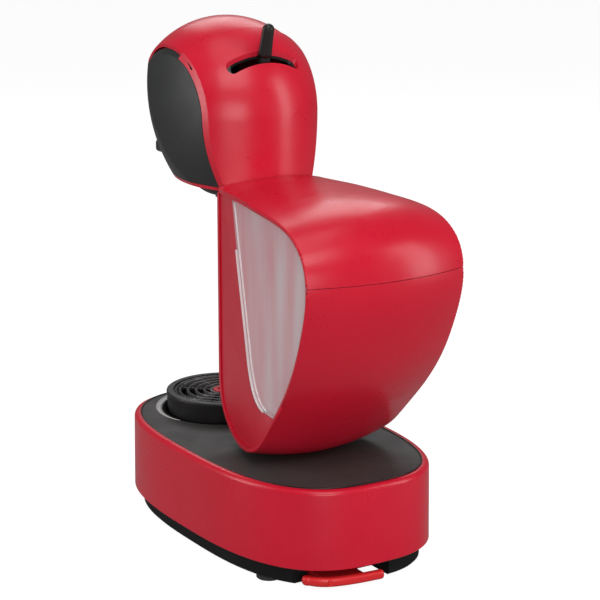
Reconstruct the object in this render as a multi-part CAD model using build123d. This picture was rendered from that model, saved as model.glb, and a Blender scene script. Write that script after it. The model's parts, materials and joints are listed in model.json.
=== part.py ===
from build123d import *
import math
import os

# Pod coffee machine. Millimetres, +Z up, the front faces -Y, origin on the floor under the middle.

WIDE = 80.0

# Base
BASE_HALF_W = 71.0
BASE_HALF_L = 121.5
BASE_Y = -0.7
BASE_POWER = 2.8
FOOT_INSET = 5.2
FOOT_BOTTOM = 1.0
BAND_BOTTOM = 13.0
BAND_TOP = 64.0
BAND_WALL = 2.6
BAND_DRAFT = 0.6
PLATE_TOP = 64.6
PLATE_CROWN_R = 1700.0

NOSE_SPLIT = 88.0
RINSE_X = 3.0
RINSE_Z = 1.2
RINSE_THICK = 5.6
FOOT_SPOTS = ((-44, -82), (44, -82), (-46, 78), (52, 76))
PAD_R = 8.0
PAD_HEIGHT = 2.4
SCREW_R = 1.6
SCREW_HEAD_R = 3.0
PUMP_X = -30.0
PUMP_Z = 36.0
PUMP_R = 15.5
PUMP_NECK_R = 9.0
PUMP_FRONT = 36.0
PUMP_REAR = 83.0
BUSH_R = 15.0
BUSH_LENGTH = 6.0
BUSH_SPOTS = (29.0, 84.0)
GLAND_Y = 40.0
GLAND_Z = 7.8
GLAND_R = 3.6

# Drip tray
TRAY_Y = -69.1
TRAY_R = 39.6
TRAY_TOP = 77.5
TRAY_FLOOR = 53.0
GRID_R = 34.2
GRID_RINGS = (30.4, 24.8, 19.2, 13.5)
HUB_R = 7.4

# Body loop: water tank, its lid and the rear cover
LOOP_HALF_W = 37.0
LOOP_FLARE = 0.19
LOOP_FLARE_CURVE = 0.0004
LOOP_FRONT = -11.0
LOOP_CROWN = 0.0031
LOOP_WALL = 3.0
LOOP_GAP = 0.4
LID_SEAM = 194.0
LID_FRONT = -7.8
SIDE_RECESS = 0.9
NECK_GAP = 0.5

# Head
HEAD_R = 62.5
HEAD_Y = -62.0
HEAD_Z = 271.0
DOME_R = 174.0
DOME_X = 125.0
DOME_Y = -67.7
DOME_Z = 273.4
CORNER_R = 115.5
CORNER_X = 60.0
CORNER_Y = -40.0
CORNER_Z = 286.0
SHELL_WALL = 2.7
LAP_WALL = 0.9
VISOR_R = 61.3
VISOR_WALL = 1.5
VISOR_HALF_W = 42.4
VISOR_FRONT_HALF_W = 35.0
VISOR_BOTTOM = 253.6
SEAM_LEAN = 33.0
SEAM_OFFSET = 7.2
HANDLE_TRAVEL = 18.0
PANEL_GAP = 0.3
PANEL_WALL = 2.5
HEAD_FLOOR = 227.0
FLOOR_WALL = 2.2
CHEEK_IN = 36.0
CHEEK_OUT = 39.0
FRAME_FRONT = -45.8
FRAME_REAR = -43.8
PIVOT_R = 3.0
PIVOT_BOSS_R = 10.0
ARM_IN = 33.2
ARM_OUT = 35.4
ARM_BOSS_R = 9.0

# Capsule holder and injector
CAPSULE_Y = -69.1
CAPSULE_R = 27.3
BOWL_R = 24.0
BOWL_Z = 236.0
BOWL_WALL = 2.0
CAPSULE_FOOT_Z = 226.0
CAPSULE_FOOT_R = 19.6
NOZZLE_R = 4.6
NOZZLE_BOTTOM = 211.0
INJECTOR_R = 22.2
HOLDER_TOP = 253.0
HOLDER_BOTTOM = 229.5
HOLDER_HALF_W = 32.0
HOLDER_REAR = -48.0
HOLDER_GAP = 0.4
SHELF_Z = 268.0
SHELF_THICK = 3.5
INJECTOR_Z = 257.0
INJECTOR_THICK = 3.4
INJECTOR_BOSS_R = 6.0
INJECTOR_BOSS_H = 5.0
NEEDLE_R = 2.0
SEAL_R = 16.5
POST_X = 20.0
POST_R = 2.5
RUNNING_GAP = 0.06

# Selection lever
LEVER_TILT = 15.0
LEVER_PIVOT = (0.0, -28.5, 253.8)
LEVER_LENGTH = 79.9
LEVER_TRAVEL = 20.0
LEVER_HALF_THICK = 2.9
SLOT_HALF_H = 3.7
SLOT_HALF_ANGLE = 23.5
LEVER_PIN_R = 2.5

# Inside the column
BUTTON_Z = 200.0
BUTTON_R = 7.6
BUTTON_BORE_R = 10.0
BOARD_HALF_W = 23.0
BOARD_Y = 2.0
BOARD_THICK = 1.6
HEATER_HALF_W = 22.0
HEATER_FRONT = -4.5
HEATER_REAR = 14.0
HEATER_BOTTOM = 126.0
HEATER_TOP = 176.0
HEATER_RIBS = 6
RIB_PITCH = 8.0
RIB_THICK = 2.5
RIB_HEIGHT = 1.0
PIPE_R = 2.5
PIPE_WALL = 0.8
RISER_Y = 8.0
OUTLET_X = -9.0
OUTLET_Y = -6.5
VALVE_Y = 70.0

os.makedirs("parts", exist_ok=True)

BALL = Pos(0, HEAD_Y, HEAD_Z)


def save(name, *solids):
    """Write one node, made of one or more separate solids."""
    shape = solids[0] if len(solids) == 1 else Compound(children=list(solids))
    export_step(shape, f"parts/{name}.step")


def only_solid(shape):
    """The largest solid of a boolean's result."""
    return max(shape.solids(), key=lambda solid: solid.volume)


def block(x0, x1, y0, y1, z0, z1):
    """A box between two corners."""
    middle = Pos((x0 + x1) / 2, (y0 + y1) / 2, (z0 + z1) / 2)
    return middle * Box(x1 - x0, y1 - y0, z1 - z0)


def slab(y0, y1, z0, z1):
    """A box across the whole width of the machine."""
    return block(-WIDE, WIDE, y0, y1, z0, z1)


def disc(x, y, z0, z1, radius):
    """A vertical cylinder from z0 to z1."""
    return Pos(x, y, (z0 + z1) / 2) * Cylinder(radius, z1 - z0)


def tube(x, y, z0, z1, outer, inner):
    """A vertical tube from z0 to z1."""
    return disc(x, y, z0, z1, outer) - disc(x, y, z0 - 1, z1 + 1, inner)


def rod_x(x0, x1, y, z, radius):
    """A cylinder along X."""
    return Pos((x0 + x1) / 2, y, z) * Rot(0, 90, 0) * Cylinder(radius, x1 - x0)


def rod_y(x, y0, y1, z, radius):
    """A cylinder along Y."""
    return Pos(x, (y0 + y1) / 2, z) * Rot(90, 0, 0) * Cylinder(radius, y1 - y0)


# ---------------------------------------------------------------- base

def superellipse(inset, z):
    """The plan outline of the base at height z, drawn in by inset."""
    half_w = BASE_HALF_W - inset
    half_l = BASE_HALF_L - inset
    points = []
    for step in range(40):
        angle = 2 * math.pi * step / 40
        c, s = math.cos(angle), math.sin(angle)
        x = half_w * math.copysign(abs(c) ** (2 / BASE_POWER), c)
        y = half_l * math.copysign(abs(s) ** (2 / BASE_POWER), s)
        points.append((x, BASE_Y + y, z))
    return Face(Wire([Edge.make_spline(points, periodic=True)]))


def base_prism(inset, z0, z1):
    """The base's outline raised from z0 to z1."""
    return Solid.extrude(superellipse(inset, z0), Vector(0, 0, z1 - z0))


def rinse_slot():
    """The recess in the foot that the rinsing tool is stored in."""
    mouth = block(RINSE_X - 14, RINSE_X + 47, 96, 125, -1, 11)
    return mouth + block(RINSE_X + 4, RINSE_X + 34, 48, 100, 2.0, 9.7)


def base_foot():
    """Black underside pan with its low wall."""
    pan = base_prism(FOOT_INSET, FOOT_BOTTOM, 20)
    pan = chamfer(pan.edges().group_by(Axis.Z)[0], 1.5)
    hollow = base_prism(FOOT_INSET + 2.6, 3.5, 21) - block(RINSE_X - 17, RINSE_X + 50, 45, 125, 0, 13.5)
    for x, y in FOOT_SPOTS:
        hollow = hollow - disc(x, y, 0, 15, 6)
    pan = pan - hollow - rinse_slot()
    for x, y in FOOT_SPOTS:
        pan -= disc(x, y, 0, PAD_HEIGHT, PAD_R + 0.2)
        pan -= disc(x, y, 0, 6, SCREW_HEAD_R + 0.2)
        pan -= disc(x, y, 0, 22, SCREW_R + 0.15)
    for y in BUSH_SPOTS:
        stand = block(PUMP_X - BUSH_R, PUMP_X + BUSH_R, y, y + BUSH_LENGTH, 3.4, PUMP_Z - 10)
        pan += stand - rod_y(PUMP_X, 0, 120, PUMP_Z, BUSH_R)
    pan -= rod_x(-WIDE, -50, GLAND_Y, GLAND_Z, GLAND_R)
    return only_solid(pan)


def base_band():
    """Red outer band with a rounded top rim."""
    flare = (BAND_TOP - BAND_BOTTOM) * math.tan(math.radians(BAND_DRAFT))
    lower = superellipse(-flare, BAND_BOTTOM)
    upper = superellipse(0, BAND_TOP)
    band = Solid.make_loft([lower.outer_wire(), upper.outer_wire()])
    band = fillet(band.edges().group_by(Axis.Z)[-1], 3.2)
    band = chamfer(band.edges().group_by(Axis.Z)[0], 0.6)
    band = band - base_prism(BAND_WALL + 0.6, BAND_BOTTOM - 1, BAND_TOP - 6.5)
    band = band - base_prism(BAND_WALL + 1.6, BAND_TOP - 7, BAND_TOP + 1)
    return only_solid(band)


def base_top_plate():
    """Black soft-touch deck, slightly crowned, with the tray's well."""
    deck = base_prism(BAND_WALL + 1.8, BAND_TOP - 6.0, BAND_TOP + 3)
    crown = Pos(0, 0, PLATE_TOP - PLATE_CROWN_R) * Rot(90, 0, 0) * Cylinder(PLATE_CROWN_R, 300)
    deck = deck & crown
    deck = deck - base_prism(BAND_WALL + 4.4, BAND_TOP - 7.0, BAND_TOP - 3.2)
    well = disc(0, TRAY_Y, 50.5, 63.0, TRAY_R + 3.4)
    deck = deck + well
    deck = deck - disc(0, TRAY_Y, 52.6, 70, TRAY_R + 0.9)
    deck = deck - loop_body(-0.25) - disc(0, RISER_Y, 50, 80, PIPE_R + 1)
    return only_solid(deck)


def base_screws():
    """Four long screws up through the foot into the deck's bosses."""
    screws = []
    for x, y in FOOT_SPOTS:
        shank = disc(x, y, 5, 24, SCREW_R)
        head = disc(x, y, 3.6, 6, SCREW_HEAD_R)
        screws.append(only_solid(shank + head))
    return screws


def rubber_feet():
    """Four round rubber pads."""
    feet = []
    for x, y in FOOT_SPOTS:
        pad = disc(x, y, 0, PAD_HEIGHT, PAD_R)
        feet.append(only_solid(chamfer(pad.edges().group_by(Axis.Z)[0], 0.5)))
    return feet


def rinsing_tool():
    """Red pull tab with the flat rinsing cartridge behind it."""
    route = [(-0.5, 120.6), (12, 119.6), (26, 117.2), (36, 113.2), (42, 105.6)]
    outline = trace(Spline(*route), 5.6) + Pos(*route[0]) * Circle(2.8) + Pos(*route[-1]) * Circle(3.9)
    bar = Pos(0, 0, RINSE_Z + 1.6) * extrude(outline, RINSE_THICK)
    bar = fillet(bar.edges().group_by(Axis.Z)[0] + bar.edges().group_by(Axis.Z)[-1], 2.0)
    tongue = block(RINSE_X + 6, RINSE_X + 32, 52, 118, RINSE_Z + 2.6, RINSE_Z + 6.4)
    return only_solid(bar + tongue)


# ---------------------------------------------------------------- drip tray

def drip_tray():
    """Round tray with a tapered wall and a broad rim."""
    body = Pos(0, TRAY_Y, TRAY_FLOOR) * Solid.make_cone(TRAY_R - 2.6, TRAY_R, TRAY_TOP - TRAY_FLOOR)
    body = fillet(body.edges().group_by(Axis.Z)[-1], 1.2)
    inner = Pos(0, TRAY_Y, TRAY_FLOOR + 2) * Solid.make_cone(TRAY_R - 6.2, TRAY_R - 5.4, 30)
    seat = disc(0, TRAY_Y, TRAY_TOP - 3.2, TRAY_TOP + 5, GRID_R + 0.5)
    return only_solid(body - inner - seat)


def drip_grid():
    """Ribbed grid: rings joined by diagonal spokes."""
    low, high = TRAY_TOP - 3.1, TRAY_TOP - 0.9
    grid = tube(0, TRAY_Y, low, high, GRID_R, GRID_R - 1.9)
    for radius in GRID_RINGS:
        grid = grid + tube(0, TRAY_Y, low, high, radius + 0.85, radius - 0.85)
    grid = grid + tube(0, TRAY_Y, low, high, HUB_R + 2.4, HUB_R + 0.25)
    for quarter in range(4):
        spoke = Pos(0, TRAY_Y, low + 0.8) * Rot(0, 0, 45 + 90 * quarter)
        grid = grid + spoke * Pos((GRID_R + HUB_R) / 2, 0, 0) * Box(GRID_R - HUB_R - 1.5, 2.0, 1.6)
    return only_solid(grid)


def grid_hub():
    """Red raised collar in the middle of the grid."""
    hub = tube(0, TRAY_Y, TRAY_TOP - 3.1, TRAY_TOP - 0.1, HUB_R, HUB_R - 3.2)
    return only_solid(fillet(hub.edges().group_by(Axis.Z)[-1], 0.7))


# ---------------------------------------------------------------- body loop

def half_width(y):
    """Half of the loop's width at a distance from front to rear."""
    reach = max(y - LOOP_FRONT, 0)
    return LOOP_HALF_W + LOOP_FLARE * reach - LOOP_FLARE_CURVE * reach ** 2


# Side profile of the loop's edge, from the top of the neck back and round to the front.
LOOP_EDGE = [(LOOP_FRONT, 230.5), (24, 230.2), (58, 228.8), (86.5, 226.9), (110.5, 219.8),
             (122.5, 208), (126.5, 192), (120.5, 163), (109.5, 138), (93.5, 114.5),
             (74, 92.5), (55, 75.2), (35, 69.3), (14, 72.8), (-3.5, 85)]
LOOP_FRONT_END = 115.0


def crowned_point(index, x, inset):
    """One profile point pushed out along its normal by the loop's crown."""
    y, z = LOOP_EDGE[index]
    before = LOOP_EDGE[max(index - 1, 0)]
    after = LOOP_EDGE[index + 1] if index + 1 < len(LOOP_EDGE) else (LOOP_FRONT, LOOP_FRONT_END)
    along = Vector(after[0] - before[0], after[1] - before[1]).normalized()
    rise = LOOP_CROWN * (half_width(y) ** 2 - x ** 2) - inset
    return (x, y - along.Y * rise, z + along.X * rise)


def loop_section(x, inset):
    """The loop's side profile at one distance from the middle plane."""
    front_rise = LOOP_CROWN * (LOOP_HALF_W ** 2 - x ** 2) - inset
    points = [crowned_point(index, x, inset) for index in range(len(LOOP_EDGE))]
    corner = (x, LOOP_FRONT - front_rise, points[0][2])
    points[0] = corner
    front_end = (x, LOOP_FRONT - front_rise, LOOP_FRONT_END)
    points.append(front_end)
    round_edge = Edge.make_spline(points, tangents=[Vector(0, 1, 0), Vector(0, 0, 1)])
    front_edge = Edge.make_line(front_end, corner)
    return Wire([round_edge, front_edge])


def loop_body(inset):
    """The crowned loop, wider than its sides, drawn in by inset."""
    stations = (-66, -33, 0, 33, 66)
    return Solid.make_loft([loop_section(x, inset) for x in stations])


def side_prism(inset):
    """Everything between the loop's two flared sides, drawn in by inset."""
    rear = 150
    middle = 60
    front = -40
    front_w = LOOP_HALF_W + LOOP_FLARE * (front - LOOP_FRONT) - inset
    right = [(front_w, front), (half_width(LOOP_FRONT) - inset, LOOP_FRONT),
             (half_width(middle) - inset, middle), (half_width(rear) - inset, rear)]
    left = [(-x, y) for x, y in reversed(right)]
    edges = [Edge.make_spline([(x, y, 0) for x, y in right]),
             Edge.make_line((right[-1][0], rear, 0), (left[0][0], rear, 0)),
             Edge.make_spline([(x, y, 0) for x, y in left]),
             Edge.make_line((left[-1][0], front, 0), (front_w, front, 0))]
    return Solid.extrude(Face(Wire(edges)), Vector(0, 0, 300))


def tank_front(offset):
    """Everything behind the slanting wall between column and tank, moved back by offset."""
    top = (10.5 + offset, 240)
    knee = (36 + offset, 138)
    toe = (62 + offset, 102.5 + offset)
    slant = Edge.make_line((0, *top), (0, *knee))
    bend = Edge.make_spline([(0, *knee), (0, *toe)],
                            tangents=[Vector(0, 25.5, -102), Vector(0, 40, 0)])
    edges = [slant, bend, Edge.make_line((0, *toe), (0, 150, toe[1])),
             Edge.make_line((0, 150, toe[1]), (0, 150, 240)),
             Edge.make_line((0, 150, 240), (0, *top))]
    face = Face(Wire(edges))
    return Pos(-80, 0, 0) * Solid.extrude(face, Vector(160, 0, 0))


def neck_cylinder(radius):
    """The round rear of the neck, from the deck up."""
    return disc(0, HEAD_Y, 40, 320, radius)


def tank_lid(band):
    """Red cover over the tank: the loop's top and its upper rear."""
    zone = slab(LID_FRONT, 160, LID_SEAM + 0.2, 260) - neck_cylinder(HEAD_R + NECK_GAP)
    return only_solid(band & zone)


def rear_cover(band):
    """Red fixed band behind and under the tank, and up the front of the column."""
    below = slab(-60, 160, 40, NOSE_SPLIT)
    behind = slab(20, 160, NOSE_SPLIT - 1, LID_SEAM - 0.2)
    nose = slab(-60, -2.2, NOSE_SPLIT - 1, LID_SEAM - 0.2)
    neck = slab(-60, LID_FRONT - 0.2, LID_SEAM - 1, HEAD_FLOOR - 0.2)
    cover = (band & (below + behind + nose + neck)) - disc(0, RISER_Y, 50, 90, PIPE_R + 1)
    return only_solid(cover - rod_y(0, -30, -5, BUTTON_Z, BUTTON_BORE_R))


def column_shell():
    """Red column inside the band, between the tray and the tank, hollow inside."""
    top = HEAD_FLOOR - 0.2
    core = loop_body(LOOP_WALL + 0.2) & side_prism(SIDE_RECESS)
    column = (core & slab(-60, 150, 40, top)) - tank_front(-0.5)
    wall = 2.6
    hollow = loop_body(LOOP_WALL + wall) & side_prism(wall + 0.6)
    hollow = (hollow & slab(-60, 60, 84, 222)) - tank_front(-wall - 1.5)
    column = only_solid(column - hollow)
    column = column - disc(0, RISER_Y, 60, 90, PIPE_R + 1)
    column = column - disc(OUTLET_X, OUTLET_Y, 215, 230, PIPE_R + 0.5)
    column = column - disc(0, VALVE_Y, 94.5, 104, 6.6) - disc(0, VALVE_Y, 99, 104, 8.2)
    column = column - rod_y(0, -30, -5, BUTTON_Z, BUTTON_BORE_R)
    return only_solid(column)


def water_tank():
    """Clear tank, open at the top under the lid."""
    body = loop_body(LOOP_WALL + LOOP_GAP) & side_prism(SIDE_RECESS) & tank_front(0.0)
    wall = 2.0
    inside = side_prism(SIDE_RECESS + wall) & tank_front(wall)
    cavity = loop_body(LOOP_WALL + LOOP_GAP + wall) & inside
    cavity = cavity + (inside & slab(0, 160, 207, 260))
    tank = body - cavity - disc(0, VALVE_Y, 90, 110, 5.0)
    return only_solid(tank)


def tank_valve():
    """Spring valve pressed into the tank's floor."""
    stem = disc(0, VALVE_Y, 95, 107, 5.0)
    flange = disc(0, VALVE_Y, 104.6, 106.6, 6.6)
    skirt = disc(0, VALVE_Y, 95, 102.4, 6.2)
    return only_solid(stem + flange + skirt - disc(0, VALVE_Y, 90, 110, 2.2))


def dock_seal():
    """Rubber ring in the column's socket for the tank valve."""
    return only_solid(tube(0, VALVE_Y, 99.05, 101.8, 8.15, 6.45))


def column_foot(deck):
    """Black pad that fills the gap between the deck and the loop."""
    pad = extrude(Pos(0, 18, 60) * RectangleRounded(62, 46, 18), 14)
    pad = pad - deck - loop_body(-0.05) - disc(0, RISER_Y, 50, 90, PIPE_R + 1)
    return max(pad.solids(), key=lambda solid: solid.center().Z)


# ---------------------------------------------------------------- head

def head_ball(radius):
    """The ball with the round neck below its rear half, down to the head's floor."""
    ball = BALL * Sphere(radius)
    neck = disc(0, HEAD_Y, HEAD_FLOOR, HEAD_Z, radius)
    neck = neck & slab(HEAD_Y, 40, HEAD_FLOOR - 1, HEAD_Z + 1)
    return (ball + neck) & slab(-140, 40, HEAD_FLOOR, 340)


def lens(radius, reach, y, z):
    """The overlap of two spheres whose centres lie at -reach and +reach along X."""
    half_thick = radius - reach
    rim = math.sqrt(radius ** 2 - reach ** 2)
    side = math.asin(rim / radius) / 2
    middle = (radius * math.cos(side) - reach, radius * math.sin(side))
    right = Edge.make_three_point_arc((half_thick, 0, 0), (*middle, 0), (0, rim, 0))
    left = Edge.make_three_point_arc((0, rim, 0), (-middle[0], middle[1], 0), (-half_thick, 0, 0))
    chord = Edge.make_line((-half_thick, 0, 0), (half_thick, 0, 0))
    return Pos(0, y, z) * revolve(Face(Wire([right, left, chord])), Axis.X, 360)


def between_domes(inset):
    """Everything between the head's two domed sides, which are tighter at the front corners."""
    sides = lens(DOME_R - inset, DOME_X, DOME_Y, DOME_Z)
    corners = lens(CORNER_R - inset, CORNER_X, CORNER_Y, CORNER_Z)
    return sides & corners


def behind_plane(lean, offset):
    """Everything behind a plane that leans back from the vertical, offset from the ball's centre."""
    half = Pos(0, 100 - offset, 0) * Box(300, 200, 300)
    return BALL * Rot(-lean, 0, 0) * half


LEVER_FRAME = Plane(origin=LEVER_PIVOT, x_dir=(1, 0, 0),
                    z_dir=(0, -math.cos(math.radians(LEVER_TILT)), math.sin(math.radians(LEVER_TILT))))


def lever_slot(half_height, half_angle, low, high):
    """Curved slot that the lever swings in, as a solid to cut away, in the lever's frame."""
    reach_x = 90 * math.sin(math.radians(half_angle))
    reach_y = 90 * math.cos(math.radians(half_angle))
    corners = [(0, 0, 0), (reach_x, reach_y, 0), (-reach_x, reach_y, 0)]
    wedge = Face(Wire([Edge.make_line(corners[i], corners[(i + 1) % 3]) for i in range(3)]))
    slab = Pos(0, 0, -half_height) * Solid.extrude(wedge, Vector(0, 0, 2 * half_height))
    for side in (-1, 1):
        slab = slab + Rot(0, 0, side * half_angle) * rod_y(0, 2, high, 0, half_height)
    slab = slab & block(-60, 60, low, high, -20, 20)
    return LEVER_FRAME.location * slab


def head_rear_shell():
    """Red shell: top, rear and neck of the head, with a thin lip over the handle."""
    shell = head_ball(HEAD_R) & between_domes(0) & behind_plane(SEAM_LEAN, SEAM_OFFSET)
    shell = shell & slab(-100, 40, HEAD_FLOOR + FLOOR_WALL + 0.1, 340)
    shell = shell - head_ball(HEAD_R - SHELL_WALL)
    lap = BALL * Sphere(HEAD_R - LAP_WALL)
    lap = lap & block(-VISOR_HALF_W - 0.5, VISOR_HALF_W + 0.5, -140, 40, 290, 340)
    lap = lap - behind_plane(SEAM_LEAN + HANDLE_TRAVEL + 2, SEAM_OFFSET)
    shell = shell - lap - lever_slot(SLOT_HALF_H, SLOT_HALF_ANGLE, 40, 75)
    return only_solid(shell)


def visor_zone():
    """Everything between the visor's two side edges, which draw in towards the front."""
    rear, front = 40, HEAD_Y - HEAD_R
    corners = [(VISOR_HALF_W, rear), (VISOR_HALF_W, HEAD_Y), (VISOR_FRONT_HALF_W, front),
               (-VISOR_FRONT_HALF_W, front), (-VISOR_HALF_W, HEAD_Y), (-VISOR_HALF_W, rear)]
    return extrude(Pos(0, 0, 200) * make_face(Polyline(*corners, close=True)), 140)


def locking_handle():
    """Red front visor on two arms, which slides back under the rear shell's lip."""
    front = slab(-160, 60, VISOR_BOTTOM, 340) - behind_plane(SEAM_LEAN, SEAM_OFFSET + 0.15)
    visor = BALL * Sphere(VISOR_R) & front & visor_zone()
    visor = (visor & between_domes(0)) - BALL * Sphere(VISOR_R - VISOR_WALL)
    inner = BALL * Sphere(VISOR_R - 0.5)
    for side in (-1, 1):
        x0, x1 = sorted((side * ARM_IN, side * ARM_OUT))
        arm = inner & block(x0, x1, -140, 40, VISOR_BOTTOM, 340) & front & between_domes(PANEL_WALL + 0.8)
        arm = arm + rod_x(x0, x1, HEAD_Y, HEAD_Z, ARM_BOSS_R)
        visor = visor + arm - rod_x(x0 - 1, x1 + 1, HEAD_Y, HEAD_Z, PIVOT_R + RUNNING_GAP)
    return only_solid(visor)


def handle_grip():
    """Black finger lip along the handle's lower front edge."""
    lip = BALL * Sphere(VISOR_R + 3.2) & block(-22, 22, -140, -90, VISOR_BOTTOM + 0.4, VISOR_BOTTOM + 4.6)
    return only_solid(lip - BALL * Sphere(VISOR_R))


def handle_pins():
    """Two steel pivot pins, one in each cheek of the frame."""
    inner = ARM_IN - 0.6
    spans = ((inner, CHEEK_OUT), (-CHEEK_OUT, -inner))
    return [only_solid(rod_x(x0, x1, HEAD_Y, HEAD_Z, PIVOT_R)) for x0, x1 in spans]


def side_panel(side):
    """Black domed panel on one side of the head, inside the red shell's edge."""
    inner = head_ball(HEAD_R - SHELL_WALL - PANEL_GAP) & slab(-140, 40, 229.5, 340)
    skin = (inner & between_domes(0)) - between_domes(PANEL_WALL)
    half = block(0, WIDE, -140, 40, 200, 340) if side > 0 else block(-WIDE, 0, -140, 40, 200, 340)
    way = HOLDER_HALF_W + HOLDER_GAP
    drawer = block(-way, way, -140, HOLDER_REAR, HOLDER_BOTTOM - 1, HOLDER_TOP + HOLDER_GAP)
    return only_solid((skin & half) - drawer)


def head_floor():
    """Red plate under the head, open at the front for the capsule holder."""
    plate = head_ball(HEAD_R) & between_domes(0)
    plate = plate & slab(-140, 40, HEAD_FLOOR, HEAD_FLOOR + FLOOR_WALL)
    opening = disc(0, CAPSULE_Y, 220, 235, BOWL_R + 0.8)
    opening = opening + block(-BOWL_R - 0.8, BOWL_R + 0.8, -140, CAPSULE_Y, 220, 235)
    plate = plate - opening - disc(OUTLET_X, OUTLET_Y, 220, 235, PIPE_R + 0.5)
    return only_solid(plate)


def head_frame():
    """Black inner frame: two cheeks, a cross wall and a shelf over the capsule holder."""
    low = HEAD_FLOOR + FLOOR_WALL
    frame = block(-CHEEK_OUT, CHEEK_OUT, FRAME_FRONT, FRAME_REAR, low, SHELF_Z)
    for side in (-1, 1):
        x0, x1 = sorted((side * CHEEK_IN, side * CHEEK_OUT))
        frame = frame + block(x0, x1, -72, FRAME_REAR, low, HEAD_Z)
        frame = frame + rod_x(x0, x1, HEAD_Y, HEAD_Z, PIVOT_BOSS_R)
    shelf = block(-31.5, 31.5, -94, FRAME_REAR, SHELF_Z, SHELF_Z + SHELF_THICK)
    frame = frame + shelf - disc(0, CAPSULE_Y, SHELF_Z - 1, SHELF_Z + 5, INJECTOR_BOSS_R + 1)
    for side in (-1, 1):
        x0, x1 = sorted((side * (CHEEK_IN - 1), side * (CHEEK_OUT + 1)))
        frame = frame - rod_x(x0, x1, HEAD_Y, HEAD_Z, PIVOT_R)
        frame = frame - disc(side * POST_X, CAPSULE_Y, SHELF_Z - 5, SHELF_Z + 5, POST_R)
    frame = frame & head_ball(HEAD_R - SHELL_WALL - 0.4) & between_domes(PANEL_WALL + 0.4)
    return only_solid(frame)


def guide_posts():
    """Two steel posts that the injector rises on."""
    low, high = INJECTOR_Z - 0.6, SHELF_Z + SHELF_THICK
    return [only_solid(disc(side * POST_X, CAPSULE_Y, low, high, POST_R)) for side in (-1, 1)]


def injector_plate():
    """Plate that presses the capsule and carries the needle."""
    top = INJECTOR_Z + INJECTOR_THICK
    plate = disc(0, CAPSULE_Y, INJECTOR_Z, top, INJECTOR_R) + block(-26, 26, -76, -62, INJECTOR_Z, top)
    plate = plate + disc(0, CAPSULE_Y, top, top + INJECTOR_BOSS_H, INJECTOR_BOSS_R)
    for side in (-1, 1):
        plate = plate - disc(side * POST_X, CAPSULE_Y, INJECTOR_Z - 5, top + 5, POST_R + RUNNING_GAP)
    plate = plate - disc(0, CAPSULE_Y, INJECTOR_Z - 5, top + 10, NEEDLE_R)
    return only_solid(plate)


def injector_needle():
    """Hollow steel needle."""
    top = INJECTOR_Z + INJECTOR_THICK + INJECTOR_BOSS_H
    needle = disc(0, CAPSULE_Y, INJECTOR_Z - 1.5, top, NEEDLE_R)
    needle = needle + Pos(0, CAPSULE_Y, INJECTOR_Z - 2.5) * Cone(0.6, NEEDLE_R, 2.0)
    return only_solid(needle - disc(0, CAPSULE_Y, INJECTOR_Z - 1, top + 1, 0.9))


def injector_seal():
    """Silicone ring that seals on the capsule's lid, between the posts."""
    return only_solid(tube(0, CAPSULE_Y, HOLDER_TOP + 0.6, INJECTOR_Z, SEAL_R, SEAL_R - 3.5))


def capsule_holder():
    """Black drawer with the deep capsule bowl and a round front."""
    ball = BALL * Sphere(HEAD_R - HOLDER_GAP) & between_domes(HOLDER_GAP)
    reach = block(-HOLDER_HALF_W, HOLDER_HALF_W, -140, HOLDER_REAR, HOLDER_BOTTOM, HOLDER_TOP)
    below = block(-40, 40, -140, 0, 200, HOLDER_BOTTOM)
    bowl = Pos(0, CAPSULE_Y, BOWL_Z) * Sphere(BOWL_R) & below
    depth = HOLDER_TOP - CAPSULE_FOOT_Z
    cup = Pos(0, CAPSULE_Y, CAPSULE_FOOT_Z) * Solid.make_cone(CAPSULE_FOOT_R, CAPSULE_R, depth + 0.01)
    cup = cup + Pos(0, CAPSULE_Y, BOWL_Z) * Sphere(BOWL_R - BOWL_WALL)
    holder = (ball & reach) + bowl - cup - disc(0, CAPSULE_Y, 200, 225, NOZZLE_R)
    return only_solid(holder)


def holder_grip():
    """Black handle on the front of the capsule holder."""
    grip = extrude(Pos(0, -124.5, 234.5) * RectangleRounded(36, 23, 9.5), 7.5)
    grip = fillet(grip.edges().group_by(Axis.Z)[0] + grip.edges().group_by(Axis.Z)[-1], 1.8)
    ball = BALL * Sphere(HEAD_R - 0.4)
    return only_solid(grip - ball)


def outlet_nozzle():
    """Short spout under the capsule bowl."""
    return only_solid(tube(0, CAPSULE_Y, NOZZLE_BOTTOM, BOWL_Z - BOWL_R + 2.6, NOZZLE_R, NOZZLE_R - 1.6))


def selection_lever():
    """Black tapered lever with its hub."""
    root_section = Pos(0, 46, 0) * Rot(-90, 0, 0) * SlotOverall(9.0, 2 * LEVER_HALF_THICK)
    tip_section = Pos(0, LEVER_LENGTH - 3, 0) * Rot(-90, 0, 0) * SlotOverall(7.2, 5.2)
    stick = loft([root_section, tip_section])
    knob = Pos(0, LEVER_LENGTH - 3, 0) * Sphere(3.6)
    knob = knob & block(-5, 5, LEVER_LENGTH - 3, LEVER_LENGTH + 3, -2.6, 2.6)
    stem = block(-3.5, 3.5, 4, 46.5, -2.4, 2.4)
    hub = Cylinder(6.5, 2 * LEVER_HALF_THICK)
    lever = stick + knob + stem + hub - Cylinder(LEVER_PIN_R + RUNNING_GAP, 20)
    return only_solid(LEVER_FRAME.location * lever)


def lever_pin():
    """Steel pin that the lever turns on."""
    return only_solid(LEVER_FRAME.location * Cylinder(LEVER_PIN_R, 13))


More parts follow.
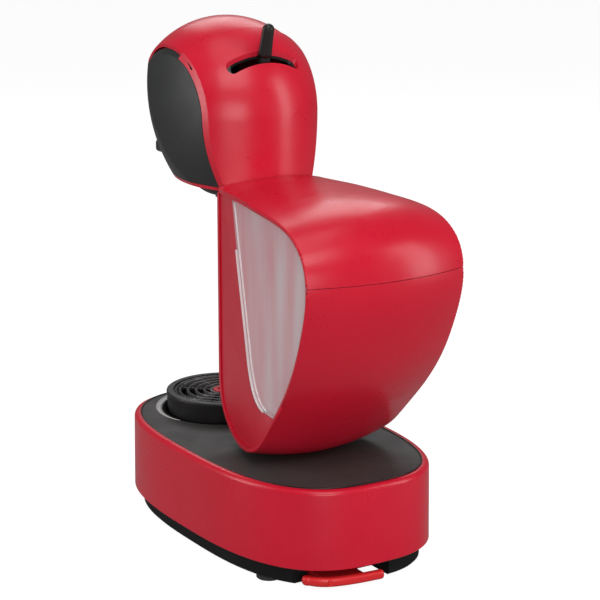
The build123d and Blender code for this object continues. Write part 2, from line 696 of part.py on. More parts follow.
def lever_bracket():
    """Two ears that hold the lever's pin above the head's floor."""
    bracket = None
    for side in (-1, 1):
        z0, z1 = sorted((side * 3.5, side * 6.0))
        ear = LEVER_FRAME.location * (block(-8, 8, -32, 7, z0, z1) - Cylinder(LEVER_PIN_R, 20))
        bracket = ear if bracket is None else bracket + ear
    bracket = bracket + block(-8, 8, -42.5, -22, 229.2, 232)
    bracket = bracket & block(-20, 20, -43.5, 20, HEAD_FLOOR + FLOOR_WALL, 300)
    return only_solid(bracket)


def lever_guide():
    """Dark grey curved plate inside the slot."""
    zone = LEVER_FRAME.location * block(-33, 33, 34, 66, -8.5, 9.5)
    plate = BALL * Sphere(HEAD_R - SHELL_WALL) & zone
    plate = plate & behind_plane(SEAM_LEAN + HANDLE_TRAVEL + 3, SEAM_OFFSET)
    plate = plate - BALL * Sphere(HEAD_R - SHELL_WALL - 2.0)
    plate = plate - lever_slot(SLOT_HALF_H + 0.4, LEVER_TRAVEL + 0.5, 20, 75)
    return only_solid(plate)


def hot_cold_valve():
    """Valve block that the lever switches."""
    body = block(-14, 14, -19.5, -6, 229.3, 243)
    return only_solid(fillet(body.edges().filter_by(Axis.Z), 2))


# ---------------------------------------------------------------- inside the column and base

def thermoblock():
    """Heater block with its cast ribs."""
    body = block(-HEATER_HALF_W, HEATER_HALF_W, HEATER_FRONT, HEATER_REAR, HEATER_BOTTOM, HEATER_TOP)
    rib_w = HEATER_HALF_W + RIB_HEIGHT + 0.5
    front, rear = HEATER_FRONT - RIB_HEIGHT, HEATER_REAR + RIB_HEIGHT
    for rib in range(HEATER_RIBS):
        z = HEATER_BOTTOM + 4 + rib * RIB_PITCH
        body = body + block(-rib_w, rib_w, front, rear, z, z + RIB_THICK)
    union = block(OUTLET_X - 3, OUTLET_X + 3, -9, HEATER_FRONT + 0.5, HEATER_TOP - 8, HEATER_TOP)
    return only_solid(body + union)


def pipes():
    """Steel riser from the base to the heater, and the outlet pipe up to the valve."""
    riser = tube(0, RISER_Y, 52, HEATER_BOTTOM, PIPE_R, PIPE_R - PIPE_WALL)
    outlet = tube(OUTLET_X, OUTLET_Y, HEATER_TOP, 229.3, PIPE_R, PIPE_R - PIPE_WALL)
    return only_solid(riser), only_solid(outlet)


def control_board():
    """Circuit board behind the button, with its relay and connector."""
    back = BOARD_Y + BOARD_THICK
    board = block(-BOARD_HALF_W, BOARD_HALF_W, BOARD_Y, back, BUTTON_Z - 16, BUTTON_Z + 16)
    relay = block(-20, -6, back, 12, BUTTON_Z - 12, BUTTON_Z + 4)
    connector = block(6, 18, back, 9, BUTTON_Z + 6, BUTTON_Z + 13)
    return only_solid(board + relay + connector)


def power_button():
    """Round push button with its stem."""
    cap = rod_y(0, -16.6, -12.0, BUTTON_Z, BUTTON_R)
    cap = fillet(cap.edges().sort_by(Axis.Y)[0], 1.0)
    return only_solid(cap + rod_y(0, -12.0, -0.6, BUTTON_Z, 2.8))


def button_ring():
    """Clear indicator ring around the button."""
    ring = rod_y(0, -15.6, -10.0, BUTTON_Z, BUTTON_BORE_R - 0.05) - rod_y(0, -20, 0, BUTTON_Z, BUTTON_R + 0.3)
    return only_solid(ring)


def button_dome():
    """Rubber dome of the switch on the board."""
    return only_solid(rod_y(0, BOARD_Y - 0.8, BOARD_Y, BUTTON_Z, 4.0))


def pump():
    """Vibration pump lying in the base, with its outlet."""
    coil = rod_y(PUMP_X, PUMP_FRONT, PUMP_REAR, PUMP_Z, PUMP_R)
    core = rod_y(PUMP_X, PUMP_FRONT - 10, PUMP_REAR + 11, PUMP_Z, PUMP_NECK_R)
    outlet = rod_y(PUMP_X, PUMP_FRONT - 18, PUMP_FRONT - 9, PUMP_Z, 4)
    return only_solid(coil + core + outlet)


def pump_bushes():
    """Two rubber rings that the pump hangs in."""
    rings = []
    for y in BUSH_SPOTS:
        ring = rod_y(PUMP_X, y, y + BUSH_LENGTH, PUMP_Z, BUSH_R)
        ring = ring - rod_y(PUMP_X, y - 1, y + BUSH_LENGTH + 1, PUMP_Z, PUMP_NECK_R)
        rings.append(only_solid(ring))
    return rings


def cord_gland():
    """Rubber inlet for the supply lead, in the foot's left side."""
    ring = rod_x(-68.5, -58, GLAND_Y, GLAND_Z, GLAND_R) - rod_x(-75, -50, GLAND_Y, GLAND_Z, 2.0)
    return only_solid(ring)


def main():
    deck = base_top_plate()
    save("base_foot", base_foot())
    save("base_band", base_band())
    save("base_top_plate", deck)
    save("base_screws", *base_screws())
    save("rubber_feet", *rubber_feet())
    save("rinsing_tool", rinsing_tool())
    save("drip_tray", drip_tray())
    save("drip_grid", drip_grid())
    save("grid_hub", grid_hub())
    loop = loop_body(0) & side_prism(0)
    band = loop - loop_body(LOOP_WALL)
    save("column_shell", column_shell())
    save("column_foot", column_foot(deck))
    save("rear_cover", rear_cover(band))
    save("tank_lid", tank_lid(band))
    save("water_tank", water_tank())
    save("tank_valve", tank_valve())
    save("dock_seal", dock_seal())
    save("head_rear_shell", head_rear_shell())
    save("side_panel_right", side_panel(1))
    save("side_panel_left", side_panel(-1))
    save("head_floor", head_floor())
    save("head_frame", head_frame())
    save("locking_handle", locking_handle())
    save("handle_grip", handle_grip())
    save("handle_pins", *handle_pins())
    save("guide_posts", *guide_posts())
    save("injector_plate", injector_plate())
    save("injector_needle", injector_needle())
    save("injector_seal", injector_seal())
    save("capsule_holder", capsule_holder())
    save("holder_grip", holder_grip())
    save("outlet_nozzle", outlet_nozzle())
    save("selection_lever", selection_lever())
    save("lever_pin", lever_pin())
    save("lever_bracket", lever_bracket())
    save("lever_guide", lever_guide())
    save("hot_cold_valve", hot_cold_valve())
    save("thermoblock", thermoblock())
    riser, outlet = pipes()
    save("riser_pipe", riser)
    save("outlet_pipe", outlet)
    save("control_board", control_board())
    save("power_button", power_button())
    save("button_ring", button_ring())
    save("button_dome", button_dome())
    save("pump", pump())
    save("pump_bushes", *pump_bushes())
    save("cord_gland", cord_gland())


main()
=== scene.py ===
import json
import math

import bmesh
import bpy
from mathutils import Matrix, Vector
from mathutils.bvhtree import BVHTree


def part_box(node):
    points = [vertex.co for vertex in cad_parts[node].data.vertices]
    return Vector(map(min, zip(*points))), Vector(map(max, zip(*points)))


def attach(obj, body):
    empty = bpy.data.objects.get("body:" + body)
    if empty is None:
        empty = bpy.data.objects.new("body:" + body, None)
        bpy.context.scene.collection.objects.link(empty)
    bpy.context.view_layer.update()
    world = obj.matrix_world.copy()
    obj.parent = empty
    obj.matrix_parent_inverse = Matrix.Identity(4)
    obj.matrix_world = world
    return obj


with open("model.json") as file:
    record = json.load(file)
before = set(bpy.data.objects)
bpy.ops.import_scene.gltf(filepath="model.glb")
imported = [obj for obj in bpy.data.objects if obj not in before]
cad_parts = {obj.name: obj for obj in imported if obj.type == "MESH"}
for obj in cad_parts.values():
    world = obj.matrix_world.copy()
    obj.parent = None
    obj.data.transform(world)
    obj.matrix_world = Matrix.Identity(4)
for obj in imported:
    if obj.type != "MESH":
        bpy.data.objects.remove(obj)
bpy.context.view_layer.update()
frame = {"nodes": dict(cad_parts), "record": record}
nodes = frame["nodes"]

# ---------------------------------------------------------------- shader helpers


class Shader:
    """One material's node tree, with short calls for the nodes that are used often."""

    def __init__(self, name):
        self.material = bpy.data.materials.new(name)
        self.material.use_nodes = True
        self.tree = self.material.node_tree
        self.bsdf = self.tree.nodes["Principled BSDF"]
        self.coords = self.tree.nodes.new("ShaderNodeTexCoord").outputs["Object"]

    def link(self, source, target):
        self.tree.links.new(source, target)

    def noise(self, scale, detail=4.0, stretch=(1, 1, 1)):
        mapping = self.tree.nodes.new("ShaderNodeMapping")
        mapping.inputs["Scale"].default_value = stretch
        self.link(self.coords, mapping.inputs["Vector"])
        node = self.tree.nodes.new("ShaderNodeTexNoise")
        node.inputs["Scale"].default_value = scale
        node.inputs["Detail"].default_value = detail
        self.link(mapping.outputs["Vector"], node.inputs["Vector"])
        return node.outputs["Fac"]

    def spread(self, value, low, high, from_low=0.3, from_high=0.7):
        node = self.tree.nodes.new("ShaderNodeMapRange")
        node.inputs["From Min"].default_value = from_low
        node.inputs["From Max"].default_value = from_high
        node.inputs["To Min"].default_value = low
        node.inputs["To Max"].default_value = high
        self.link(value, node.inputs["Value"])
        return node.outputs["Result"]

    def blend(self, factor, first, second):
        node = self.tree.nodes.new("ShaderNodeMix")
        node.data_type = "RGBA"
        for socket, value in ((node.inputs[6], first), (node.inputs[7], second)):
            if hasattr(value, "is_linked"):
                self.link(value, socket)
            else:
                socket.default_value = (*value, 1)
        self.link(factor, node.inputs[0])
        return node.outputs[2]

    def edges(self, low=0.58, high=0.72):
        """Where the surface turns outwards sharply, from 0 to 1."""
        geometry = self.tree.nodes.new("ShaderNodeNewGeometry")
        return self.spread(geometry.outputs["Pointiness"], 0, 1, low, high)

    def bump(self, height, strength, distance, rounding=0.0):
        node = self.tree.nodes.new("ShaderNodeBump")
        node.inputs["Strength"].default_value = strength
        node.inputs["Distance"].default_value = distance
        self.link(height, node.inputs["Height"])
        if rounding:
            soft = self.tree.nodes.new("ShaderNodeBevel")
            soft.samples = 4
            soft.inputs["Radius"].default_value = rounding
            self.link(soft.outputs["Normal"], node.inputs["Normal"])
        self.link(node.outputs["Normal"], self.bsdf.inputs["Normal"])

    def set(self, **values):
        for key, value in values.items():
            self.bsdf.inputs[key.replace("_", " ")].default_value = value


def plastic(name, dark, light, edge_wear_and_glint, rough, grain, grain_depth, coat=0.0, rounding=0.0005, shine=0.5):
    """Moulded plastic: two close colours, uneven gloss, fine grain and paler edges: worn edges, and on the
    drip grid a painted highlight.
    """
    s = Shader(name)
    tone = s.blend(s.spread(s.noise(18, 3), 0, 1), dark, light)
    # Sharp edges take the edge colour: wear on most plastics, a painted highlight along the drip grid's
    # rings.
    s.link(s.blend(s.edges(), tone, edge_wear_and_glint), s.bsdf.inputs["Base Color"])
    s.link(s.spread(s.noise(60, 6), rough[0], rough[1]), s.bsdf.inputs["Roughness"])
    s.bump(s.noise(grain, 2), 0.25, grain_depth, rounding)
    s.set(Coat_Weight=coat, Coat_Roughness=0.12, IOR=1.5, Specular_IOR_Level=shine)
    return s.material


def metal(name, dark, light, rough, brushed):
    """Metal with fine brushing along one direction."""
    s = Shader(name)
    lines = s.noise(300, 2, brushed)
    s.link(s.blend(lines, dark, light), s.bsdf.inputs["Base Color"])
    s.link(s.spread(lines, rough[0], rough[1]), s.bsdf.inputs["Roughness"])
    s.bump(lines, 0.15, 0.0001)
    s.set(Metallic=1.0)
    return s.material


def clear_plastic(name, tint, clear_tint, rough, cover):
    """Clear moulded plastic: a thin milky film in the given tint, with faint paler upright streaks in
    colour and relief.
    """
    s = Shader(name)
    upright_streaks = s.noise(42, 2, (1, 1, 0.14))
    s.link(s.blend(s.spread(upright_streaks, 0, 1, 0.38, 0.62), tint, clear_tint), s.bsdf.inputs["Base Color"])
    s.link(s.spread(s.noise(40, 4), rough[0], rough[1]), s.bsdf.inputs["Roughness"])
    s.bump(upright_streaks, 0.3, 0.0010)
    s.set(Alpha=cover, IOR=1.45, Specular_IOR_Level=0.5)
    return s.material


RED = plastic("red_gloss", (0.56, 0.006, 0.024), (0.60, 0.008, 0.030), (0.70, 0.06, 0.09),
              (0.26, 0.36), 2600, 0.000008, coat=0.06, rounding=0.0, shine=0.34)
RED_SOFT = plastic("red_tab", (0.62, 0.012, 0.016), (0.70, 0.02, 0.022), (0.8, 0.08, 0.07),
                   (0.30, 0.42), 700, 0.00008)
BLACK = plastic("black_satin", (0.007, 0.006, 0.006), (0.011, 0.010, 0.010), (0.035, 0.033, 0.033),
                (0.34, 0.48), 1500, 0.00010, shine=0.4)
PANEL = plastic("panel_satin", (0.012, 0.012, 0.012), (0.017, 0.018, 0.018), (0.045, 0.045, 0.045),
                (0.40, 0.5), 1600, 0.00008, shine=0.4)
DECK = plastic("soft_deck", (0.034, 0.032, 0.031), (0.044, 0.042, 0.041), (0.08, 0.077, 0.075),
               (0.52, 0.66), 2200, 0.00014, shine=0.4)
GLOSS = plastic("black_gloss", (0.007, 0.007, 0.008), (0.012, 0.012, 0.012), (0.05, 0.05, 0.05),
                (0.10, 0.22), 500, 0.00004, coat=0.5)
GREY = plastic("dark_grey", (0.035, 0.036, 0.038), (0.055, 0.056, 0.058), (0.1, 0.1, 0.1),
               (0.40, 0.55), 1300, 0.00012)
FOOT = plastic("foot_matt", (0.008, 0.008, 0.008), (0.013, 0.013, 0.013), (0.03, 0.03, 0.03),
               (0.6, 0.75), 1500, 0.00014, shine=0.12)
LEVER = plastic("lever_satin", (0.006, 0.005, 0.005), (0.010, 0.009, 0.009), (0.03, 0.028, 0.028),
                (0.34, 0.46), 1500, 0.00006, shine=0.4)
# Near-black and matt: painted shade for the ring round the tray's well.
SHADOW = plastic("well_shadow", (0.002, 0.002, 0.002), (0.004, 0.004, 0.004), (0.006, 0.006, 0.006),
                 (0.8, 0.9), 900, 0.00005, shine=0.05)
# The grid's pale edge colour is a painted highlight on its ring edges.
GRID = plastic("grid_gloss", (0.012, 0.011, 0.011), (0.02, 0.019, 0.019), (0.20, 0.19, 0.19),
               (0.16, 0.26), 700, 0.00003, coat=0.3)
RUBBER = plastic("rubber", (0.016, 0.016, 0.016), (0.026, 0.026, 0.026), (0.05, 0.05, 0.05),
                 (0.68, 0.85), 1100, 0.0002)
SILICONE = plastic("silicone", (0.55, 0.55, 0.52), (0.68, 0.68, 0.65), (0.8, 0.8, 0.78),
                   (0.42, 0.6), 900, 0.0001)
BOARD = plastic("board", (0.008, 0.07, 0.03), (0.014, 0.11, 0.045), (0.35, 0.3, 0.12),
                (0.35, 0.5), 800, 0.0001)
STEEL = metal("steel", (0.50, 0.50, 0.52), (0.68, 0.68, 0.70), (0.18, 0.32), (1, 1, 12))
# Pale grey for the deck crescent: a painted reflection of the glossy black recess round the tray.
REFLECTION_PAINT = plastic("painted_reflection", (0.36, 0.345, 0.345), (0.42, 0.405, 0.405), (0.55, 0.54, 0.54),
                 (0.24, 0.34), 2400, 0.00004)
ALUMINIUM = metal("aluminium", (0.42, 0.42, 0.44), (0.60, 0.60, 0.62), (0.38, 0.55), (1, 1, 1))
# The tank's pink is painted red light: the red cover seen through and reflected in the tank, over a milky
# film.
CLEAR = clear_plastic("clear_tank", (1.0, 0.54, 0.58), (1.0, 0.88, 0.90), (0.05, 0.14), 0.38)
BEAD = clear_plastic("clear_bead", (0.93, 0.86, 0.87), (0.99, 0.96, 0.96), (0.05, 0.10), 0.55)
RING_CLEAR = clear_plastic("clear_ring", (0.85, 0.85, 0.87), (0.95, 0.95, 0.96), (0.25, 0.35), 0.8)

BY_SLOT = {"red_gloss": RED, "black_satin": BLACK, "soft_deck": DECK, "black_gloss": GLOSS,
           "rubber": RUBBER, "silicone": SILICONE, "steel": STEEL, "clear_tank": CLEAR,
           "clear_tank_ring": RING_CLEAR, "aluminium": ALUMINIUM, "board": BOARD, "dark_grey": GREY}
SPECIAL = {"side_panel_right": PANEL, "side_panel_left": PANEL, "rinsing_tool": RED_SOFT,
           "base_foot": FOOT, "drip_grid": GRID, "lever_guide": BLACK, "selection_lever": LEVER}

# ---------------------------------------------------------------- carried-over CAD nodes

CREASE_DEGREES = 28
WELD_REACH = 0.00001


def smooth(piece):
    """Weld the triangles' shared corners and shade everything but real creases smoothly."""
    weld = piece.modifiers.new("weld", "WELD")
    weld.merge_threshold = WELD_REACH
    for polygon in piece.data.polygons:
        polygon.use_smooth = True
    for attribute in ("custom_normal", "sharp_edge", "sharp_face"):
        if attribute in piece.data.attributes:
            piece.data.attributes.remove(piece.data.attributes[attribute])
    split = piece.modifiers.new("creases", "EDGE_SPLIT")
    split.split_angle = math.radians(CREASE_DEGREES)


def dress_nodes():
    """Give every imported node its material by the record's slot."""
    for part in frame["record"]["subparts"]:
        piece = nodes[part["node"]]
        material = SPECIAL.get(part["node"], BY_SLOT[part["material_slot"]])
        piece.data.materials.clear()
        piece.data.materials.append(material)
        smooth(piece)


# ---------------------------------------------------------------- new pieces

LOOP_HALF_W = 0.037
LOOP_FLARE = 0.19
LOOP_FLARE_CURVE = 0.4
LOOP_FRONT = -0.011
LOOP_MIDDLE = Vector((0, 0.05, 0.15))
LID_SEAM = 0.194
LID_FRONT = -0.0078
RIM_STEPS = 220
RIM_INSET = 0.0014
RIM_R = 0.0011
BASE_POWER = 2.8
DECK_JOINT_R = 0.0006
DECK_TOP = 0.0646
DECK_CROWN_R = 1.7
DECK_ARC_STEPS = 60
REFLECTION_SWEEP = 212
REFLECTION_WIDTH = 0.0058
WELL_R = 0.0405
WELL_EDGE_R = 0.0427
LEVER_PIVOT = Vector((0, -0.0285, 0.2538))
LEVER_TILT = 15
LEVER_ROOT = 0.0585
LEVER_TIP = 0.0769
LEVER_DOME = 0.0034
LEVER_ROOT_SIZE = (0.0047, 0.0034)
LEVER_TIP_SIZE = (0.0040, 0.0031)
TANK_TOP = (0.0113, 0.2265)
TANK_KNEE = (0.036, 0.138)
TANK_TOE = (0.062, 0.1025)
KNEE_SHARE = 0.66
BEAD_STEPS = 48
TANK_BEADS = ((1, 0.0016, 0.0011), (2, 0.0062, 0.0007))  # number, set back, radius
BEAD_DROP = 0.35
RAY_REACH = 0.2
RAY_SIDE = 0.09
RIM_DEPTH = 0.0012
RIM_PROUD = 0.0002
SEAM_CLEAR = 0.001
DECK_ARC_THICK = 0.0005
REFLECTION_LIFT = 0.00018
WELL_LIFT = 0.00012
JOINT_STEPS = 160
GRID_BEAD_R = 0.0008
GRID_BEAD_SINK = 0.0003
GRID_STEPS = 120
LEVER_SIDES = 32
LEVER_ROWS = 8
DOME_ROWS = 7
GRID_RINGS = (0.0332, 0.0304, 0.0248, 0.0192, 0.0135)


def add_mesh(name, verts, faces, material, body):
    """A new smooth piece that rides on a body."""
    mesh = bpy.data.meshes.new(name)
    mesh.from_pydata(verts, [], faces)
    bm = bmesh.new()
    bm.from_mesh(mesh)
    bmesh.ops.recalc_face_normals(bm, faces=bm.faces)
    bm.to_mesh(mesh)
    bm.free()
    for polygon in mesh.polygons:
        polygon.use_smooth = True
    piece = bpy.data.objects.new(name, mesh)
    bpy.context.scene.collection.objects.link(piece)
    mesh.materials.append(material)
    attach(piece, body)
    return piece


def ring_of(points, radius, sides=8, closed=True):
    """Vertices and faces of a round bead that follows a line of points."""
    verts, faces = [], []
    count = len(points)
    for i, point in enumerate(points):
        after = points[(i + 1) % count] if closed or i + 1 < count else point
        before = points[i - 1] if closed or i else point
        along = (after - before).normalized()
        upright = abs(along.z) > 0.99
        side = (along.orthogonal() if upright else along.cross(Vector((0, 0, 1)))).normalized()
        up = side.cross(along)
        for k in range(sides):
            a = 2 * math.pi * k / sides
            verts.append(point + side * (radius * math.cos(a)) + up * (radius * math.sin(a)))
    spans = count if closed else count - 1
    for i in range(spans):
        j = (i + 1) % count
        for k in range(sides):
            m = (k + 1) % sides
            faces.append((i * sides + k, j * sides + k, j * sides + m, i * sides + m))
    if not closed:
        faces.append(tuple(range(sides)))
        faces.append(tuple((count - 1) * sides + k for k in range(sides)))
    return verts, faces


def surface_line(name, starts, toward):
    """Where rays from a row of points first meet a node's surface, as points in the world."""
    tree = BVHTree.FromObject(nodes[name], bpy.context.evaluated_depsgraph_get())
    found = []
    for start in starts:
        place = tree.ray_cast(start, toward)[0]
        if place is not None:
            found.append(place)
    return found


def half_width(y):
    """Half of the body loop's width at a distance from front to rear."""
    reach = max(y - LOOP_FRONT, 0)
    return LOOP_HALF_W + LOOP_FLARE * reach - LOOP_FLARE_CURVE * reach ** 2


def loop_rim(sign):
    """Points round the outer edge of one side of the body loop, from the cover and the lid."""
    depsgraph = bpy.context.evaluated_depsgraph_get()
    trees = [BVHTree.FromObject(nodes[name], depsgraph) for name in ("rear_cover", "tank_lid")]
    rim = []
    for step in range(RIM_STEPS):
        angle = 2 * math.pi * step / RIM_STEPS
        inward = Vector((0, -math.cos(angle), -math.sin(angle)))
        y = LOOP_MIDDLE.y
        for _ in range(4):
            side_x = sign * (half_width(y) - RIM_DEPTH)
            start = Vector((side_x, LOOP_MIDDLE.y, LOOP_MIDDLE.z)) - inward * RAY_REACH
            hits = [tree.ray_cast(start, inward) for tree in trees]
            met = [hit for hit in hits if hit[0] is not None]
            if not met:
                break
            nearest = min(met, key=lambda hit: hit[3])
            y = nearest[0].y
        else:
            rim.append((nearest[0], nearest[1]))
    return rim


def bearing_from_rear(point):
    """Angle of a point round the loop's middle, from the rear."""
    return math.atan2(point.z - LOOP_MIDDLE.z, point.y - LOOP_MIDDLE.y)


def bearing_from_top(point):
    """Angle of a point round the loop's middle, from the top forwards."""
    return math.atan2(LOOP_MIDDLE.y - point.y, point.z - LOOP_MIDDLE.z) % (2 * math.pi)


def rim_beads():
    """A rounded red lip along the window edge of the loop, split where the lid lifts off."""
    for sign, side in ((1, "right"), (-1, "left")):
        lid, cover = [], []
        for place, normal in loop_rim(sign):
            point = place - normal * RIM_INSET
            point.x = sign * (half_width(point.y) - RIM_PROUD)
            if place.z > LID_SEAM + SEAM_CLEAR and place.y > LID_FRONT + SEAM_CLEAR:
                lid.append(point)
            elif place.z < LID_SEAM - SEAM_CLEAR and place.y > LOOP_FRONT:
                cover.append(point)
        lid.sort(key=bearing_from_rear)
        cover.sort(key=bearing_from_top)
        for name, line, body in (("lid", lid, "lid"), ("cover", cover, "machine")):
            verts, faces = ring_of(line, RIM_R, 10, closed=False)
            add_mesh(f"{name}_lip_{side}", verts, faces, RED, body)


def deck_top(x):
    """Height of the crowned deck at a distance from the middle plane."""
    return DECK_TOP - x * x / (2 * DECK_CROWN_R)


def deck_ring(name, centre, inner_r, outer_radius, half_sweep, lift, material):
    """A thin flat arc laid on the deck round the tray, from -half_sweep to half_sweep off the front."""
    verts, faces = [], []
    for step in range(DECK_ARC_STEPS + 1):
        angle = half_sweep * (2 * step / DECK_ARC_STEPS - 1)
        for radius in (inner_r, outer_radius(angle)):
            x, y = centre.x + math.sin(angle) * radius, centre.y - math.cos(angle) * radius
            top = deck_top(x) + lift
            verts += [(x, y, top - DECK_ARC_THICK), (x, y, top)]
    for step in range(DECK_ARC_STEPS):
        near, far = 4 * step, 4 * step + 4
        for a, b in ((1, 3), (3, 2), (2, 0), (0, 1)):
            faces.append((near + a, near + b, far + b, far + a))
    return add_mesh(name, verts, faces, material, "machine")


def deck_joint():
    """The dark joint line between the deck and the band's rounded rim."""
    low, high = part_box("base_top_plate")
    middle = (low + high) / 2
    half = (high - low) / 2
    points = []
    for step in range(JOINT_STEPS):
        angle = 2 * math.pi * step / JOINT_STEPS
        c, s = math.cos(angle), math.sin(angle)
        x = half.x * math.copysign(abs(c) ** (2 / BASE_POWER), c)
        y = half.y * math.copysign(abs(s) ** (2 / BASE_POWER), s)
        points.append(Vector((x, middle.y + y, deck_top(x) + 0.0001)))
    verts, faces = ring_of(points, DECK_JOINT_R, 8)
    return add_mesh("deck_joint", verts, faces, BLACK, "machine")


def deck_painted_light():
    """A pale crescent on the deck round the front of the tray, painted as the reflection of the glossy
    black recess there, and a near-black ring at the well's edge, painted shade under the tray.
    """
    tray_low, tray_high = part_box("drip_tray")
    centre = (tray_low + tray_high) / 2
    half_sweep = math.radians(REFLECTION_SWEEP / 2)

    def outer_radius(angle):
        return WELL_EDGE_R + REFLECTION_WIDTH * max(math.cos(angle * math.pi / 2 / half_sweep), 0) ** 0.75

    # The crescent's pale colour is a painted reflection of the glossy recess.
    deck_ring("deck_painted_light", centre, WELL_EDGE_R, outer_radius, half_sweep, REFLECTION_LIFT, REFLECTION_PAINT)
    # Near-black ring round the well: painted shade where the tray's edge shadows the deck.
    deck_ring("well_painted_shade", centre, WELL_R, lambda angle: WELL_EDGE_R, math.pi, WELL_LIFT, SHADOW)


def lever_levels():
    """Distance from the pivot, half width and half thickness of the grip, row by row to its dome."""
    levels = []
    for row in range(LEVER_ROWS + 1):
        share = row / LEVER_ROWS
        half_w, half_t = (root + share * (tip - root) for root, tip in zip(LEVER_ROOT_SIZE, LEVER_TIP_SIZE))
        levels.append((LEVER_ROOT + (LEVER_TIP - LEVER_ROOT) * share, half_w, half_t))
    for row in range(1, DOME_ROWS):
        angle = math.pi / 2 * row / DOME_ROWS
        shrink = math.cos(angle)
        reach = LEVER_TIP + LEVER_DOME * math.sin(angle)
        levels.append((reach, LEVER_TIP_SIZE[0] * shrink, LEVER_TIP_SIZE[1] * shrink))
    return levels


def lever_sleeve():
    """The lever's round, tapering grip with its domed tip, over the flat CAD stick."""
    tilt = math.radians(LEVER_TILT)
    along = Vector((0, math.sin(tilt), math.cos(tilt)))
    across = Vector((1, 0, 0))
    through = across.cross(along)
    levels = lever_levels()
    verts, faces = [], []
    sides = LEVER_SIDES
    for reach, half_w, half_t in levels:
        for k in range(sides):
            a = 2 * math.pi * k / sides
            offset = across * (half_w * math.cos(a)) + through * (half_t * math.sin(a))
            verts.append(LEVER_PIVOT + along * reach + offset)
    for row in range(len(levels) - 1):
        for k in range(sides):
            m = (k + 1) % sides
            above = (row + 1) * sides
            faces.append((row * sides + k, row * sides + m, above + m, above + k))
    faces.append(tuple(range(sides)))
    verts.append(LEVER_PIVOT + along * (LEVER_TIP + LEVER_DOME))
    last = (len(levels) - 1) * sides
    for k in range(sides):
        faces.append((last + k, last + (k + 1) % sides, len(verts) - 1))
    return add_mesh("lever_sleeve", verts, faces, LEVER, "lever")


def grid_beads():
    """Rounded tops on the grid's rings, which catch the light."""
    low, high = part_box("drip_grid")
    centre = (low + high) / 2
    verts, faces = [], []
    for radius in GRID_RINGS:
        points = []
        for step in range(GRID_STEPS):
            angle = 2 * math.pi * step / GRID_STEPS
            x, y = centre.x + radius * math.cos(angle), centre.y + radius * math.sin(angle)
            points.append(Vector((x, y, high.z - GRID_BEAD_SINK)))
        ring, sides = ring_of(points, GRID_BEAD_R, 8)
        faces += [tuple(len(verts) + index for index in face) for face in sides]
        verts += ring
    return add_mesh("grid_beads", verts, faces, GRID, "grid")


def tank_beads():
    """Two clear moulded beads down the slanting front edge of each side of the tank."""
    for sign, side in ((1, "right"), (-1, "left")):
        for number, back, radius in TANK_BEADS:
            starts = []
            for step in range(BEAD_STEPS + 1):
                y, z = tank_front_line(step / BEAD_STEPS)
                starts.append(Vector((sign * RAY_SIDE, y + back, z + back * BEAD_DROP)))
            line = surface_line("water_tank", starts, Vector((-sign, 0, 0)))
            verts, faces = ring_of(line, radius, 8, closed=False)
            add_mesh(f"tank_bead_{side}_{number}", verts, faces, BEAD, "tank")


def tank_front_line(share):
    """A point (y, z) on the tank's front edge, straight from the top and curved at the toe."""
    if share < KNEE_SHARE:
        part = share / KNEE_SHARE
        return tuple(top + part * (knee - top) for top, knee in zip(TANK_TOP, TANK_KNEE))
    part = (share - KNEE_SHARE) / (1 - KNEE_SHARE)
    pull = (TANK_KNEE[0] + 0.0072, TANK_TOE[1] + 0.0012)
    weights = ((1 - part) ** 2, 2 * part * (1 - part), part ** 2)
    y = weights[0] * TANK_KNEE[0] + weights[1] * pull[0] + weights[2] * TANK_TOE[0]
    z = weights[0] * TANK_KNEE[1] + weights[1] * pull[1] + weights[2] * TANK_TOE[1]
    return (y, z)


def tray_knurl():
    """The tray's wall: fine slanting ribs below a smooth rim."""
    low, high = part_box("drip_tray")
    centre = (low + high) / 2
    top_r = (high.x - low.x) / 2
    foot_r = top_r - 0.0026
    height = high.z - low.z
    ribs, per_rib, rows = 150, 4, 14
    around = ribs * per_rib
    wall_low, wall_high = low.z + 0.004, high.z - 0.0052
    verts, faces = [], []
    for row in range(rows + 1):
        z = wall_low + (wall_high - wall_low) * row / rows
        base = foot_r + (top_r - foot_r) * (z - low.z) / height + 0.00005
        fade = math.sin(math.pi * row / rows) ** 0.5
        for k in range(around):
            a = 2 * math.pi * k / around
            phase = 2 * math.pi * (k / per_rib + 1.5 * row / rows)
            r = base + 0.00032 * fade * (0.5 + 0.5 * math.cos(phase))
            verts.append((centre.x + r * math.cos(a), centre.y + r * math.sin(a), z))
    for row in range(rows):
        for k in range(around):
            m = (k + 1) % around
            above = (row + 1) * around
            faces.append((row * around + k, row * around + m, above + m, above + k))
    return add_mesh("tray_knurl", verts, faces, BLACK, "tray")


# ---------------------------------------------------------------- studio

CAMERA_AZIMUTH = math.radians(148.6989)
CAMERA_DISTANCE = 1.24909
CAMERA_HEIGHT = 0.46522
CAMERA_PITCH = 76.1275
CAMERA_HEADING = 147.994
CAMERA_LENS = 119.3
CAMERA_SHIFT = -0.0068
FLOOR_HALF = 30.0
LIGHT_TARGET = Vector((0, 0, 0.16))
ROOM_LIGHT = 0.16
SOFT_LIGHTS = (  # name, azimuth, elevation, distance, width, height, power
    ("front", 160, 50, 1.6, 0.9, 0.7, 10.0),
    ("front_low", 158, 8, 1.7, 0.9, 0.6, 10.0),
    ("right_strip", 226, 14, 1.4, 0.35, 1.2, 7.0),
    ("left_strip", 62, 18, 1.4, 0.4, 1.2, 8.0),
    ("top", 150, 84, 1.3, 0.7, 0.7, 2.5),
    ("far", 330, 40, 1.7, 1.0, 0.9, 7.0),
)


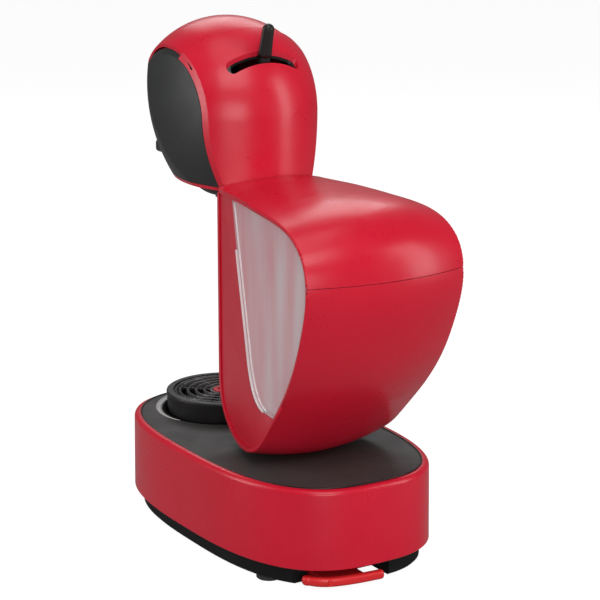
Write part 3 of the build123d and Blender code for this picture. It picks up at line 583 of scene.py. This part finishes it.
def add_floor():
    """A white floor that reflects little light back on the object."""
    size = FLOOR_HALF
    corners = [(-size, -size, 0), (size, -size, 0), (size, size, 0), (-size, size, 0)]
    mesh = bpy.data.meshes.new("floor")
    mesh.from_pydata(corners, [], [(0, 1, 2, 3)])
    floor = bpy.data.objects.new("floor", mesh)
    bpy.context.scene.collection.objects.link(floor)
    white = Shader("floor")
    tone = white.blend(white.noise(3, 2), (0.20, 0.20, 0.20), (0.22, 0.22, 0.22))
    white.link(tone, white.bsdf.inputs["Base Color"])
    direct = white.tree.nodes.new("ShaderNodeLightPath").outputs["Is Camera Ray"]
    white.link(white.spread(direct, 0.10, 0.93, 0, 1), white.bsdf.inputs["Emission Strength"])
    white.set(Roughness=0.9, Emission_Color=(1, 1, 1, 1), Specular_IOR_Level=0.1)
    mesh.materials.append(white.material)


def add_room():
    """A room that looks white and gives a dim, even light."""
    world = bpy.data.worlds.new("studio")
    bpy.context.scene.world = world
    world.use_nodes = True
    tree = world.node_tree
    seen = tree.nodes.new("ShaderNodeLightPath")
    straight = tree.nodes.new("ShaderNodeMath")
    straight.operation = "MAXIMUM"
    tree.links.new(seen.outputs["Is Camera Ray"], straight.inputs[0])
    tree.links.new(seen.outputs["Is Transmission Ray"], straight.inputs[1])
    level = tree.nodes.new("ShaderNodeMapRange")
    level.inputs["To Min"].default_value = ROOM_LIGHT
    level.inputs["To Max"].default_value = 1.0
    tree.links.new(straight.outputs["Value"], level.inputs["Value"])
    background = tree.nodes["Background"]
    background.inputs["Color"].default_value = (1, 1, 1, 1)
    tree.links.new(level.outputs["Result"], background.inputs["Strength"])


def add_lights():
    """Soft lights round the object, all aimed at its middle."""
    for name, azimuth, elevation, distance, width, height, power in SOFT_LIGHTS:
        around, up = math.radians(azimuth), math.radians(elevation)
        flat = math.cos(up)
        toward = Vector((math.sin(around) * flat, -math.cos(around) * flat, math.sin(up)))
        place = LIGHT_TARGET + distance * toward
        light = bpy.data.lights.new(name, "AREA")
        light.shape = "RECTANGLE"
        light.size = width
        light.size_y = height
        light.energy = power
        lamp = bpy.data.objects.new(name, light)
        bpy.context.scene.collection.objects.link(lamp)
        lamp.location = place
        lamp.rotation_euler = (LIGHT_TARGET - place).to_track_quat("-Z", "Y").to_euler()


def add_camera():
    """The camera, at the rear right."""
    data = bpy.data.cameras.new("camera")
    data.sensor_width = 36
    data.lens = CAMERA_LENS
    data.shift_y = CAMERA_SHIFT
    camera = bpy.data.objects.new("camera", data)
    bpy.context.scene.collection.objects.link(camera)
    camera.location = (math.sin(CAMERA_AZIMUTH) * CAMERA_DISTANCE,
                       -math.cos(CAMERA_AZIMUTH) * CAMERA_DISTANCE, CAMERA_HEIGHT)
    camera.rotation_euler = (math.radians(CAMERA_PITCH), 0, math.radians(CAMERA_HEADING))
    bpy.context.scene.camera = camera
    bpy.context.scene.view_settings.view_transform = "Standard"


add_floor()
add_room()
add_lights()
add_camera()
dress_nodes()
tray_knurl()
tank_beads()
rim_beads()
deck_joint()
deck_painted_light()
grid_beads()
lever_sleeve()
